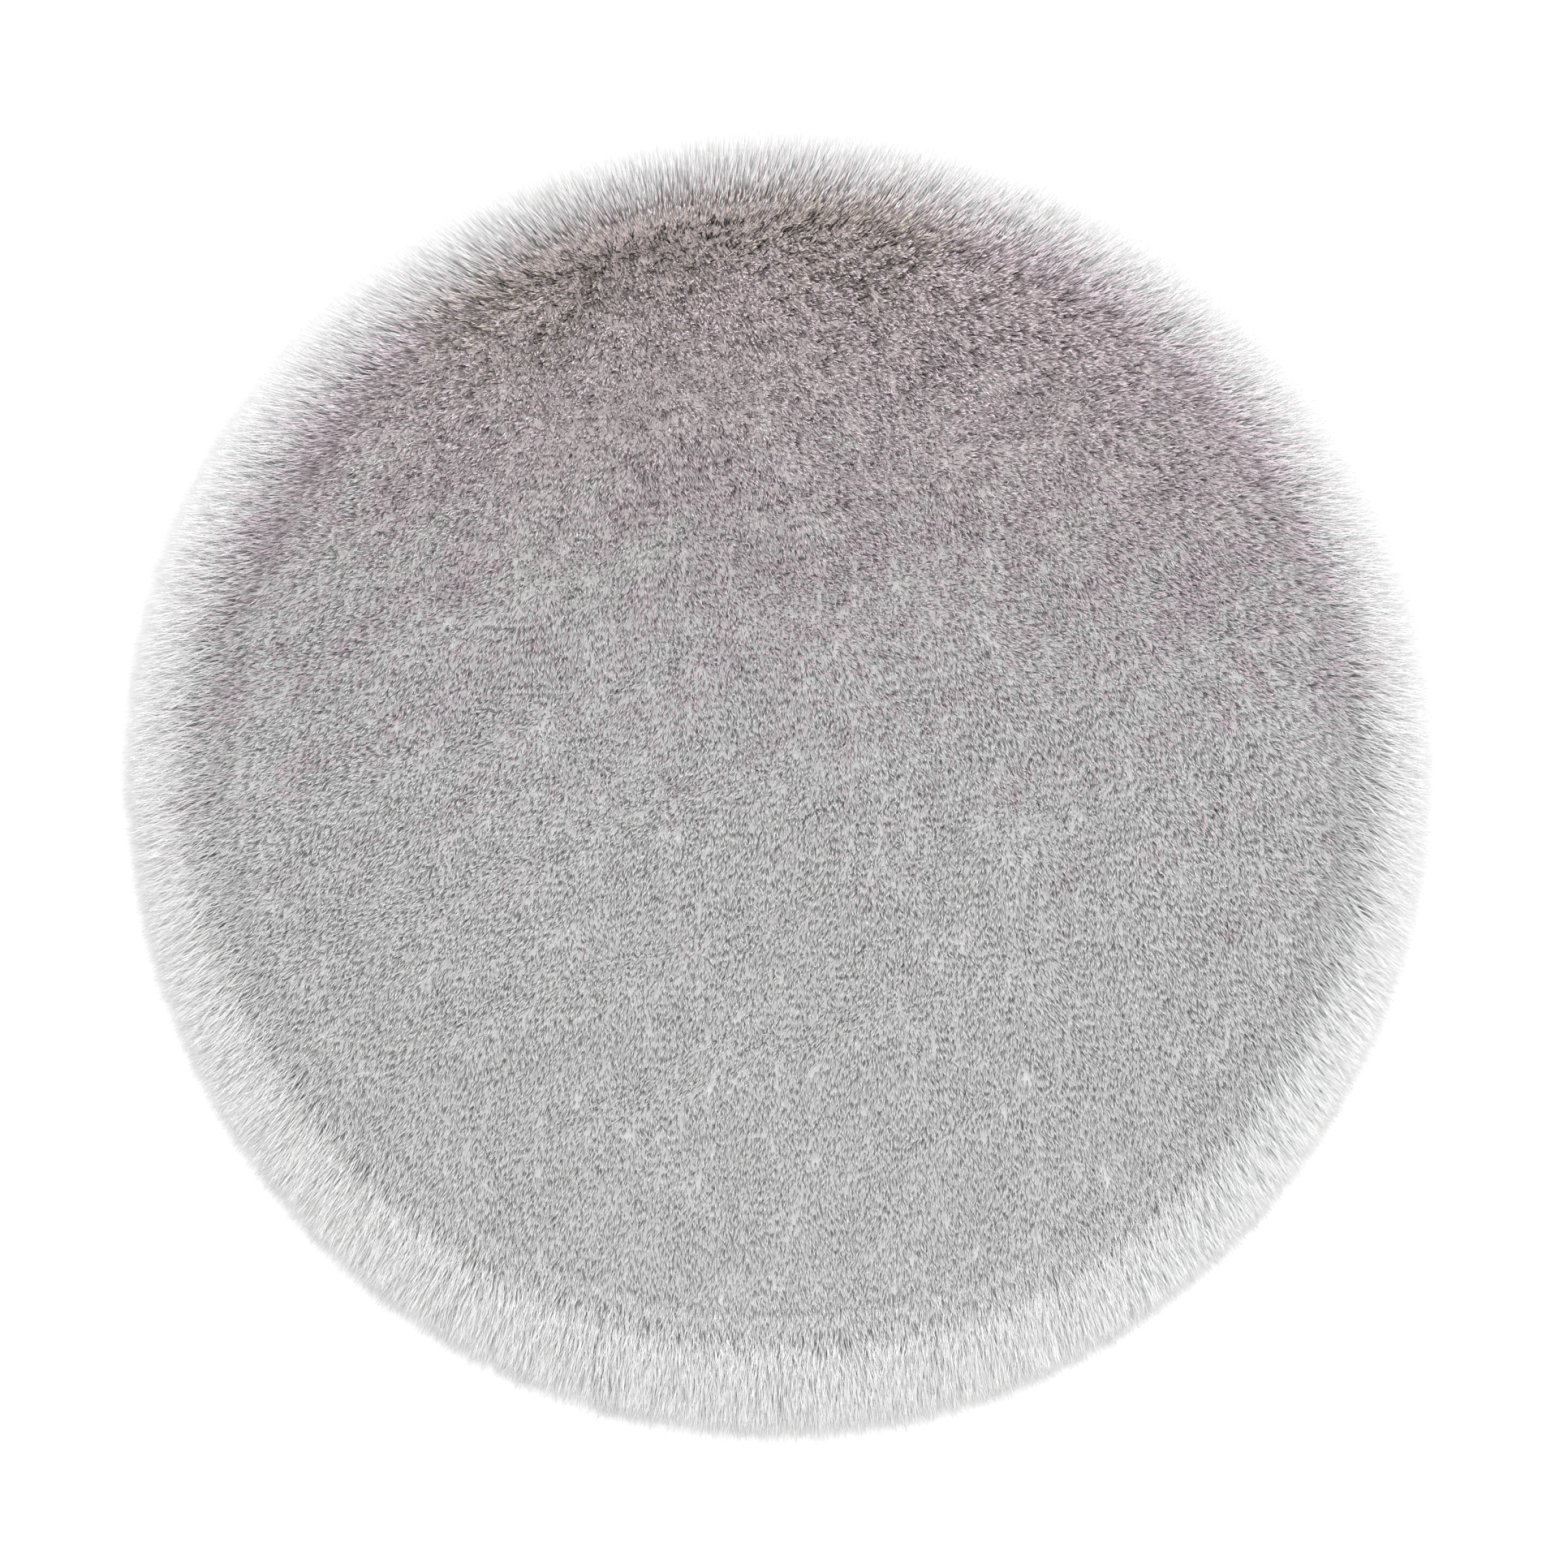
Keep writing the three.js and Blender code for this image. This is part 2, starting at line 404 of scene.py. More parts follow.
rim = {
    "start": 0.785,            # share of the run where the rim starts,
    "combed": 0.07,            # the share over which it comes to be combed outwards,
    "width": 0.09,             # and the share over which its hairs grow to their full length
    "slopePlaces": (0.74, 0.88, 0.96),
    "slopes": (30, 4, -8),     # by which a rim hair rises at these shares, from the shoulder to the floor
    "leanShare": 0.5,          # share of a hair's own lean that is left in its slope
    "twist": 0.6,
    "nap": 0.42,               # how much of the nap's heading the rim keeps
    "reach": 0.0215,           # from the widest part of the pad to where the longest hairs end
    "reachCut": 0.65,          # share that is taken off what is past it
    "nearReach": 0.15,         # how much longer the rim is at the near side, and shorter at the far side,
    "nearGrowth": 0.8,         # and how much more so past the middle of the near side
    "nearStart": 0.04,         # how much further in the rim's own hairs start at the near side
    "heavySide": 240,          # heading at which the rim is heavier: longer, and darker by a painted shadow
    "heavyLength": 0.12,
    "heavyReach": 0.0037,
    "heavyPaintedShadow": 0.11,
    "tuftHeading": 154,        # one raised tuft
    "tuftSpread": 26,
    "tuftLength": 0.22,
    "tuftLift": 12,
    "tuftShade": 0.12,
    "floorGap": 0.0005,
    "floorTurn": 0.5,          # how much of what would be below the floor goes outwards, and upwards
    "floorRise": 0.3,
    "floorDepth": 0.004,       # depth past which a hair rises no more
}

# Each kind of hair: how many, its length in the middle and at the rim beside the pile's, its greatest
# width, how much paler it is in the middle and at the rim, the shares of the pad's run between which it
# grows, and its turn and the number of kinds that share its spiral of roots.
# A kind's paleness at the rim is painted light.
hairKinds = {
    "pile_undercoat": {"count": 46800, "length": (0.90, 1.3), "width": 0.00046, "pale": (-0.03, 0.0),
                       "from": 0.0, "to": 1.0, "share": (0, 3), "seed": 3},
    "pile_nap_first": {"count": 46800, "length": (1.0, 1.5), "width": 0.00042, "pale": (0.0, 0.0),
                       "from": 0.0, "to": 1.0, "share": (1, 3), "seed": 11},
    "pile_nap_second": {"count": 46800, "length": (1.0, 1.5), "width": 0.00042, "pale": (0.0, 0.0),
                        "from": 0.0, "to": 1.0, "share": (2, 3), "seed": 12},
    "pile_rim_first": {"count": 46800, "length": (1.2, 2.7), "width": 0.00016, "pale": (0.20, 0.34),
                       "from": 0.79, "to": 0.93, "share": (0, 1), "seed": 14},
    "pile_rim_second": {"count": 46800, "length": (1.4, 4.1), "width": 0.00015, "pale": (0.20, 0.38),
                        "from": 0.83, "to": 0.95, "share": (0, 1), "seed": 15},
}

# Soft wandering over the pad: how many waves, the range of their lengths beside the given one, and what
# their sum is divided by. Then the length and seed of each use.
wandering = {"waves": 7, "stretch": (0.75, 1.4), "evenOut": 2.6}
wanders = {
    "speck": (0.012, 4),
    "turn": (0.025, 5),
    "lean": (0.018, 6),
    "row": (0.0032, 7),
    "patch": (0.028, 8),
    "finePatch": (0.011, 9),
}

# Waves that make a value for a cell, and the use of each value.
cellWaves = {"column": 127.1, "row": 311.7, "use": 74.7, "height": 43758.5453}
cellUses = {"across": 1, "up": 2, "twist": 3, "lean": 4, "length": 5, "shade": 6}


# A repeatable value from 0 to 1 for a cell of a grid: the fraction left by a large sine.
def cellValue(column, row, use):
    wave = column * cellWaves["column"] + row * cellWaves["row"] + cellUses[use] * cellWaves["use"]
    wave = np.sin(wave) * cellWaves["height"]
    return wave - np.floor(wave)


# The same from -1 to 1: twice the value, less one.
def clumpValue(column, row, use):
    return 2 * cellValue(column, row, use) - 1


# Soft wandering values from about -1 to 1: the sum of sine waves of like length in all directions, over
# a number that evens it out.
def wander(x, y, use):
    length, seed = wanders[use]
    draw = np.random.default_rng(seed)
    heading = draw.uniform(0, fullTurn, wandering["waves"])
    stretch = draw.uniform(*wandering["stretch"], wandering["waves"])
    phase = draw.uniform(0, fullTurn, wandering["waves"])
    along = x[..., None] * np.cos(heading) + y[..., None] * np.sin(heading)
    return np.sin(along * fullTurn / (length * stretch) + phase).sum(-1) / wandering["evenOut"]


# Middle of the nearest clump and its cell: clumps stand on a square grid, each moved within its cell.
def nearestClump(x, y):
    size = clump["size"]
    column, row = np.floor(x / size), np.floor(y / size)
    best = np.full(x.shape, np.inf)
    found = [np.zeros(x.shape) for _ in range(4)]
    for across in (-1, 0, 1):
        for up in (-1, 0, 1):
            c, r = column + across, row + up
            middleX = (c + clump["margin"] + clump["room"] * cellValue(c, r, "across")) * size
            middleY = (r + clump["margin"] + clump["room"] * cellValue(c, r, "up")) * size
            away = np.hypot(x - middleX, y - middleY)
            nearer = away < best
            best = np.where(nearer, away, best)
            found = [np.where(nearer, new, old) for new, old in zip((middleX, middleY, c, r), found)]
    return found


# Roots over a ring of the flattened cloth: each turns on by the golden angle, its run grows with the root
# of its number, so that they are spread evenly, and it is moved a little. Kinds that grow together take
# turns along the same spiral, so that their roots lie between one another's.
def rootPlaces(kind, draw):
    count, start, end = kind["count"], kind["from"], kind["to"]
    order, kinds = kind["share"]
    index = np.arange(count) * kinds + order + 0.5
    run = edgeRun * np.sqrt(start ** 2 + (end ** 2 - start ** 2) * index / (count * kinds))
    turn = index * math.pi * (3 - math.sqrt(5))
    spacing = edgeRun * math.sqrt(math.pi * (end ** 2 - start ** 2) / (count * kinds))
    shift = pile["rootShift"]
    x = run * np.cos(turn) + draw.uniform(-shift, shift, count) * spacing
    y = run * np.sin(turn) + draw.uniform(-shift, shift, count) * spacing
    over = np.minimum(1, edgeRun / np.maximum(np.hypot(x, y), tiny))
    return x * over, y * over


# Heading of the nap in degrees, where -90 runs to -Y. On the near half it turns evenly with x, like a fan,
# and less so towards the near side. On the far half it parts to the left and the right of a line, by a
# smooth step across the line, and more so towards the far side.
def napHeading(x, y):
    aside, far = x / rimRadius, np.clip(y / rimRadius, -1, 1)
    near, beyond = np.clip(-far, 0, 1), np.clip(far, 0, 1)
    nearTurn = pile["nearTurn"] * (1 - near) + pile["fan"] * (1 - near) * aside
    parting = np.tanh(pile["partingSharpness"] * (aside - pile["partingPlace"]))
    farTurn = (pile["parting"] + pile["farParting"] * beyond) * parting
    share = np.clip(pile["partingRise"] * far + pile["partingStart"], 0, 1)
    return nearTurn * (1 - share) + farTurn * share - 90


# Roots, tips and upward sides of hairs rooted at places of the cloth. Each hair leans from the normal
# towards the nap: the normal times the cosine of its lean, and the nap times the sine. At the rim it is
# combed outwards instead, from a slope upwards to a slope downwards.
def hairLines(x, y, twist, lean, length):
    point, normal, alongX, alongY = padFrame(x, y)
    heading = np.radians(napHeading(x, y) + twist)
    nap = unit(alongX * np.cos(heading)[:, None] + alongY * np.sin(heading)[:, None])
    ownLean = lean - pile["lean"]
    lean = np.radians(lean)[:, None]
    direction = normal * np.cos(lean) + nap * np.sin(lean)
    share = np.hypot(x, y) / edgeRun
    outwards = np.arctan2(y, x) + np.radians(twist) * rim["twist"]
    slope = np.interp(share, rim["slopePlaces"], rim["slopes"]) - ownLean * rim["leanShare"]
    slope = np.radians(slope)
    flat = np.stack([np.cos(outwards) * np.cos(slope), np.sin(outwards) * np.cos(slope), np.sin(slope)], -1)
    combed = np.clip((share - rim["start"]) / rim["combed"], 0, 1)[:, None]
    direction = unit(direction * (1 - combed) + (flat + nap * rim["nap"]) * combed)
    up = unit(normal * (1 - combed) + np.array([0, 0, 1]) * combed)
    return point - normal * pile["rootSink"], point + direction * length[:, None], up


# From 0 to 1 where the rim is heavier: the cosine of the angle away from its heading.
def heaviness(x, y):
    return np.clip(np.cos(np.arctan2(y, x) - math.radians(rim["heavySide"])), 0, 1)


# The longest hairs end near one circle: what a tip is past it is cut to a small share.
def withinReach(points):
    radius = np.hypot(points[:, 0], points[:, 1])
    reach = rim["reach"] + rim["heavyReach"] * heaviness(points[:, 0], points[:, 1])
    beyond = np.maximum(radius - rimRadius - reach, 0)
    inwards = 1 - rim["reachCut"] * beyond / np.maximum(radius, tiny)
    return points * np.stack([inwards, inwards, np.ones(len(points))], 1)


# Near the floor a hair lies along it: a share of what would be below goes outwards, and a share upwards.
def layOnFloor(points):
    lowest = rim["floorGap"]
    under = np.maximum(lowest - points[..., 2], 0)
    outward = unit(points * np.array([1, 1, 0]))
    points = points + outward * under[..., None] * rim["floorTurn"]
    rise = rim["floorRise"] * np.minimum(under, rim["floorDepth"])
    points[..., 2] = np.maximum(points[..., 2], lowest + rise)
    return points


blade = {
    "knees": (0.78, 0.88),     # range of the share of the length at which a blade is bent
    "bend": 0.4,               # how far its knee stands out, beside its width
    "kneeRow": 0.83,           # the knee's place along the shades of a hair, from 0 at the root to 1
    "shadeWidth": 0.0022,      # half the width of a blade across the shades
    "shadeSize": 0.98,         # the shades' share of the UV map, and their distance from its corner
    "shadeCorner": 0.01,
}


# Hairs as closed blades of four faces: a root, a tip, and two side corners at the knee, which is a share of
# the way from root to tip, and stands above it by a share of the width, so that the hair is bent there and
# has a ridge beneath.
def hairMesh(name, root, tip, up, width, shadeRow, turned, draw):
    count = len(root)
    along = unit(tip - root)
    side = unit(np.cross(up, along) + turned * draw.normal(size=(count, 3)))
    side = unit(side - along * (side * along).sum(-1, keepdims=True))
    front = np.cross(along, side)
    kneeShare = draw.uniform(*blade["knees"], (count, 1))
    knee = root + (tip - root) * kneeShare + front * width[:, None] * blade["bend"]
    half = side * width[:, None] / 2
    corners = np.stack([root, knee - half, knee + half, tip], 1)
    faces = np.array([(0, 1, 2), (3, 2, 1), (0, 3, 1), (0, 2, 3)])
    allFaces = (faces[None] + np.arange(count)[:, None, None] * 4).reshape(-1, 3)
    rows = np.array([0, blade["kneeRow"], blade["kneeRow"], 1])
    across = np.array([0, -blade["shadeWidth"], blade["shadeWidth"], 0])
    uv = np.stack([np.broadcast_to(rows, (count, 4)), shadeRow[:, None] + across], -1)
    uv = uv[:, faces].reshape(-1, 2) * blade["shadeSize"] + blade["shadeCorner"]
    return meshObject(name, corners.reshape(-1, 3), allFaces, uv)


# The shades of the hairs lie in three bands, each from dark (0) to pale (1).
bands = {"neutral": 0, "mauve": 1, "brown": 2}

shades = {
    "tone": 0.59,              # at the middle of the pad, and how much paler hairs are elsewhere: painted light on the far half, the near side and the rim
    "farPaintedLight": 0.32,
    "nearPaintedLight": 0.15,
    "nearPower": 1.4,
    "rimPaintedLight": 0.27,
    "brownTone": 0.04,
    "uneven": (0.035, 0.02),   # how much single hairs differ, and how much more at the far side
    "nearEven": 0.5,           # how much less at the near side and at the rim
    "rimEven": 0.8,
    "rimStart": (0.795, 0.010),    # share of the run where the rim's painted light starts, and how much later far off
    "rimWidth": (0.12, 0.045),     # how wide it grows, and how much narrower that is far off
    "farHalf": 3,              # how fast that takes over past the middle
    "finePatch": 0.7,          # how strong the fine patches are beside the wide ones
    "bandStart": 0.04,         # where the shades start in a band, and how much of it they take up
    "bandSize": 0.92,
}

# Small soft specks: how sharp and how rare they are, and how many fewer there are at the near side.
specks = {"contrast": 2.5, "rarity": 1.9, "nearLess": 0.8}

# The chance that a hair is mauve: a share everywhere, what adds to it, and how fast the rim takes it off.
mauves = {"everywhere": 0.05, "far": 1.5, "patch": 0.25, "blotch": 0.4, "speck": 0.5, "rimLess": 1.6}

# The brown crescent: its heading, the cosine of its half angle, how sharp its ends are, the share of the
# run where it starts, how fast it grows from there, and how fast the rim takes it off.
browns = {"heading": 101, "ends": 0.86, "sharpness": 10, "start": 0.69, "rise": 12, "patch": 0.3,
          "rimLess": 2.5}

# Painted shade of the far half, given by more dark hairs: the way to the far side, less so aside of it.
paintedShadeWeights = {"far": 1.2, "aside": 0.5, "patch": 0.25, "blotch": 0.4}

# The dark hairs, which paint the shade of the gaps in the pile: their share off the near side, what adds to
# it, how the soft rows change it and how fast the rim takes it off. Then their tone, and how much darker
# they are towards the far side.
shadeHairs = {"share": 0.06, "paintedShade": 0.13, "brown": 0.25, "speck": 0.08, "row": 1.2, "rowRange": (0.1, 2.6),
         "rimLess": 5, "tone": 0.30, "farDarker": 0.30, "farRise": 1.5, "farStart": 0.35, "uneven": 0.03}

# Blotches of the far half that deepen its painted shade and its mauve, and clear ones that lessen them: x,
# y, size, depth.
blotches = np.array([
    (0.002, 0.045, 0.020, 1.0),
    (-0.030, 0.091, 0.018, 0.8),
    (0.118, 0.050, 0.022, 0.5),
    (-0.058, 0.062, 0.024, -1.0),
    (-0.135, 0.066, 0.022, -0.9),
    (-0.150, 0.071, 0.008, 2.2),
])


# The depth of the blotches: a bell curve of the distance from each, added up.
def blotchDepth(x, y):
    middleX, middleY, size, depth = blotches.T
    away = np.hypot(x[:, None] - middleX, y[:, None] - middleY) / size
    return (depth * np.exp(-away ** 2)).sum(1)


# How far a hair is into the rim's painted light, from 0 to 1: even over a width that is narrower on the far
# half.
def paleRim(share, farHalf):
    start, width = shades["rimStart"], shades["rimWidth"]
    return np.clip((share - start[0] - start[1] * farHalf) / (width[0] - width[1] * farHalf), 0, 1)


# Where a hair's shade lies in the range of shades, and whether it is one of the dark hairs that paint the
# shade of the gaps. Mauve and dark hairs gather in soft patches towards the far side, and brown ones at its
# end. Tones are paler as painted light on the far half, the near side and the rim, and darker by a painted
# shadow at the rim's heavy side.
def hairShade(x, y, pale, ripple, draw):
    count = len(x)
    far, aside = y / rimRadius, np.abs(x) / rimRadius
    beyond, near = np.clip(far, 0, 1), np.clip(-far, 0, 1)
    share = np.hypot(x, y) / edgeRun
    edge = paleRim(share, np.clip(shades["farHalf"] * far, 0, 1))
    patch = wander(x, y, "patch") + shades["finePatch"] * wander(x, y, "finePatch")
    blotch = blotchDepth(x, y)
    speck = np.clip(specks["contrast"] * wander(x, y, "speck") - specks["rarity"], 0, 1)
    speck = speck * (1 - specks["nearLess"] * near)
    mauve = mauves["far"] * far + mauves["patch"] * patch + mauves["everywhere"]
    mauve = mauve + mauves["blotch"] * blotch + mauves["speck"] * speck
    mauve = np.clip(mauve, 0, 1) * np.clip(1 - mauves["rimLess"] * edge, 0, 1)
    crescent = np.cos(np.arctan2(y, x) - math.radians(browns["heading"])) - browns["ends"]
    crescent = np.clip(crescent * browns["sharpness"], 0, 1)
    brown = np.clip(browns["rise"] * (share - browns["start"]) + browns["patch"] * patch, 0, 1)
    brown = brown * crescent * np.clip(1 - browns["rimLess"] * edge, 0, 1)
    paintedShade = paintedShadeWeights["far"] * far - paintedShadeWeights["aside"] * beyond * aside
    paintedShade = np.clip(paintedShade + paintedShadeWeights["patch"] * patch + paintedShadeWeights["blotch"] * blotch, 0, 1)
    darkShare = shadeHairs["share"] * (1 - near) + shadeHairs["paintedShade"] * paintedShade
    darkShare = darkShare + shadeHairs["brown"] * brown + shadeHairs["speck"] * speck
    darkShare = darkShare * np.clip(1 - shadeHairs["row"] * ripple, *shadeHairs["rowRange"])
    dark = draw.uniform(size=count) < darkShare * (1 - np.clip(edge * shadeHairs["rimLess"], 0, 1))
    uneven = shades["uneven"][0] + shades["uneven"][1] * beyond
    uneven = uneven * (1 - shades["nearEven"] * near) * (1 - shades["rimEven"] * edge)
    # Painted light: hairs are paler on the far half, towards the near side and at the rim.
    tone = shades["tone"] + pale + uneven * draw.normal(size=count) + shades["farPaintedLight"] * beyond
    tone = tone + shades["nearPaintedLight"] * near ** shades["nearPower"]
    tone = tone + shades["rimPaintedLight"] * edge + shades["brownTone"] * brown
    # Painted shadow: the rim is darker towards its heavy side.
    tone = np.minimum(tone, 1) - rim["heavyPaintedShadow"] * heaviness(x, y) * edge
    darker = shadeHairs["farDarker"] * np.clip(shadeHairs["farRise"] * far - shadeHairs["farStart"], 0, 1)
    darkTone = shadeHairs["tone"] - darker + shadeHairs["uneven"] * draw.normal(size=count)
    tone = np.where(dark, darkTone, tone)
    chance = draw.uniform(size=count)
    band = np.where(chance < mauve, bands["mauve"], bands["neutral"])
    band = np.where(chance < brown, bands["brown"], band)
    return (band + shades["bandStart"] + shades["bandSize"] * np.clip(tone, 0, 1)) / len(bands), dark


# One kind of hair over the pad. Its twist, lean, length and paleness are sums and products of what its
# clump, the soft rows, the slow wandering, the rim and the tuft add to it, and each hair then has its own.
def growHairs(name, kind):
    draw = np.random.default_rng(kind["seed"])
    count = kind["count"]
    x, y = rootPlaces(kind, draw)
    if kind["from"] > 0:
        inwards = 1 - rim["nearStart"] * np.clip(-y / edgeRun, 0, 1)
        x, y = x * inwards, y * inwards
    far = y / edgeRun
    near = np.clip(-far, 0, 1)
    clumpX, clumpY, column, row = nearestClump(x, y)
    edge = np.clip((np.hypot(x, y) / edgeRun - rim["start"]) / rim["width"], 0, 1)
    away = (np.degrees(np.arctan2(y, x)) - rim["tuftHeading"] + 180) % 360 - 180
    tuft = np.exp(-(away / rim["tuftSpread"]) ** 2) * edge
    ripple = np.clip(wander(x * pile["rowStretch"], y, "row"), *pile["rowRange"])

    twist = clump["twist"] * clumpValue(column, row, "twist") * (1 - clump["rimTwist"] * edge)
    twist = twist + pile["wanderTurn"] * wander(x, y, "turn")
    lean = pile["lean"] + clump["lean"] * clumpValue(column, row, "lean")
    lean = lean + pile["wanderLean"] * wander(x, y, "lean") - rim["tuftLift"] * tuft - pile["brush"] * far
    lean = lean + pile["rowLean"] * ripple * (1 + far)
    length = 1 + clump["length"] * clumpValue(column, row, "length")
    length = length + pile["rowLift"] * ripple + rim["tuftLength"] * tuft
    middleLength, rimLength = kind["length"]
    length = length * pile["length"] * (middleLength + (rimLength - middleLength) * edge)
    length = length * (1 - rim["nearReach"] * (far + rim["nearGrowth"] * near * far) * edge)
    length = length * (1 + rim["heavyLength"] * heaviness(x, y) * edge)
    # The paler rim is painted light.
    middlePale, rimPale = kind["pale"]
    middlePale = middlePale * np.clip(1 - pile["paleFade"] * far, 0, 1)
    pale = middlePale + (rimPale - middlePale) * edge - rim["tuftShade"] * tuft
    # Clumps differ in tone at random, and the soft rows add painted shade.
    rowPale = clump["shade"] * clumpValue(column, row, "shade") + pile["rowPaintedShade"] * ripple
    shadeRow, dark = hairShade(x, y, pale + rowPale * (1 - edge), ripple, draw)

    calm = pile["calmNear"] * near
    ownTwist = twist + draw.normal(0, pile["twist"], count) * (1 - pile["calmRim"] * edge - calm)
    ownLean = lean + draw.normal(0, pile["leanSpread"], count) * (1 + edge - calm)
    shortest = pile["lengths"][0] - pile["rimLengths"][0] * edge
    longest = pile["lengths"][1] + pile["rimLengths"][1] * edge
    ownLength = length * draw.uniform(shortest, longest, count) * (1 + pile["darkLonger"] * dark)
    root, tip, up = hairLines(x, y, ownTwist, ownLean, ownLength)
    clumpTip = hairLines(clumpX, clumpY, twist, lean, length)[1]
    gather = clump["gather"] * (1 - edge[:, None]) * draw.uniform(*clump["gatherRange"], (count, 1))
    tip = withinReach(layOnFloor(tip + (clumpTip - tip) * gather))
    width = kind["width"] * draw.uniform(*pile["widths"], count) * (1 + pile["darkWider"] * dark)
    width = width * (1 - pile["rimThinner"] * edge * (kind["from"] == 0))
    turned = pile["turned"][0] + pile["turned"][1] * far - pile["rimTurned"] * edge
    turned = np.maximum(turned, pile["leastTurned"])[:, None]
    hairs = hairMesh(name, layOnFloor(root), tip, up, width, shadeRow, turned, draw)
    print(name, count, "hairs", len(hairs.data.polygons), "faces")
    return hairs


# Finishes

hairFinish = {
    # dark warm roots: the roots' own colour, darkened further as painted shade of the deep pile
    "stops": [(0.0, (0.26, 0.21, 0.18)), (0.38, (0.52, 0.50, 0.50)),
              (0.72, (0.62, 0.617, 0.618)), (1.0, (0.62, 0.62, 0.62))],
    "tip": (0.62, 0.62, 0.62),
    "mauve": (1.0, 0.88, 0.94),
    "brown": (0.955, 0.865, 0.785),
    "evenTones": (0.47, 0.78),     # tones between which a hair becomes one colour from root to tip
    "levels": [(0.0, 0.05), (0.35, 0.50), (0.57, 0.68), (0.64, 0.605),
               (0.75, 0.63), (0.82, 0.79), (0.98, 0.96)],
    "brightness": 1.52,
    "roughness": 0.72,
}

bodyFinish = {
    # from the painted shade of the gaps (0) to the pile's palest colour (1)
    "stops": [(0.05, (0.20, 0.194, 0.192)), (0.42, (0.56, 0.557, 0.557)),
              (0.7, (0.58, 0.579, 0.579)), (1.0, (0.80, 0.80, 0.80))],
    "farSide": (0.92, 0.80, 0.80),
    "far": (0.03, 0.15),       # y between which the far side begins, and the near side
    "near": (-0.02, -0.15),
    "edge": (0.144, 0.171),    # radii between which the edge begins
    "spread": 0.40,            # how far off the point is that the nap spreads from
    "waverScale": 260.0,
    "waverDetail": 2.0,
    "waver": 0.0022,
    "strokes": {"width": 0.0006, "length": 0.0024, "detail": 1.0},
    "rows": {"width": 0.0090, "length": 0.0030, "detail": 2.0},
    "farTurn": 0.9,            # by which the strokes turn at the far side, in radians
    "strokeDepth": 1.6,        # how deep the strokes' painted shade is, and how much more or less at the two sides
    "farDeeper": 2.0,
    "nearFlatter": 0.8,
    "rowDepth": 1.0,
    "middle": 0.5,
    # painted shade on the far side, and painted light on the near side and at the edge
    "farShade": 0.08,
    "nearLight": 0.20,
    "edgeLight": 0.75,
    "edgePower": 1.5,          # how much later the edge's light comes on the far side
    "lightest": 0.70,          # off the edge, and what the edge adds
    "edgeLightest": 0.30,
    "pileBump": 0.0004,
    "roughness": 0.9,
}

underFinish = {
    "height": 0.0006,
    "threads": 4200,           # radians of a thread's wave in a metre
    "contrast": 0.25,
    "middle": 0.5,
    "dark": (0.30, 0.295, 0.29),
    "light": (0.46, 0.455, 0.45),
}


# Dark warm roots to pale tips along each hair: the roots' own warm colour, darkened further as painted shade
# of the deep pile. The paler its tone, the more even its colour, and its band tints it mauve or brown.
def hairMaterial():
    shade = Shade("plush_hair")
    place = shade.node("ShaderNodeUVMap", {"uv_map": "OFBake"})
    along = shade.node("ShaderNodeSeparateXYZ", None, {0: place}, output="X")
    row = shade.node("ShaderNodeSeparateXYZ", None, {0: place}, output="Y") * len(bands)
    band = row.maths("FLOOR")
    tone = row - band
    colour = shade.node("ShaderNodeValToRGB", {"stops": hairFinish["stops"]}, {"Fac": along})
    colour = shade.mix(shade.share(tone, hairFinish["evenTones"]), colour, hairFinish["tip"])
    for tint in ("mauve", "brown"):
        inBand = band.maths("COMPARE", bands[tint], 0.5)
        colour = shade.mix(inBand, colour, hairFinish[tint], "MULTIPLY")
    levels = [(stop, (level,) * 3) for stop, level in hairFinish["levels"]]
    level = shade.node("ShaderNodeValToRGB", {"stops": levels}, {"Fac": tone})
    colour = shade.node("ShaderNodeVectorMath", {"operation": "MULTIPLY"}, {0: colour, 1: level})
    bright = {0: colour, "Scale": hairFinish["brightness"]}
    colour = shade.node("ShaderNodeVectorMath", {"operation": "SCALE"}, bright)
    return shade.finish(Base_Color=colour, Roughness=hairFinish["roughness"], Specular_IOR_Level=0.0)


# Noise drawn out along one direction.
def streaks(shade, across, along, height, kind):
    sockets = {"X": across * (1 / kind["width"]), "Y": along * (1 / kind["length"]),
               "Z": height * (1 / kind["length"])}
    where = shade.node("ShaderNodeCombineXYZ", None, sockets)
    sockets = {"Vector": where, "Scale": 1.0, "Detail": kind["detail"]}
    return shade.node("ShaderNodeTexNoise", None, sockets, "Fac")
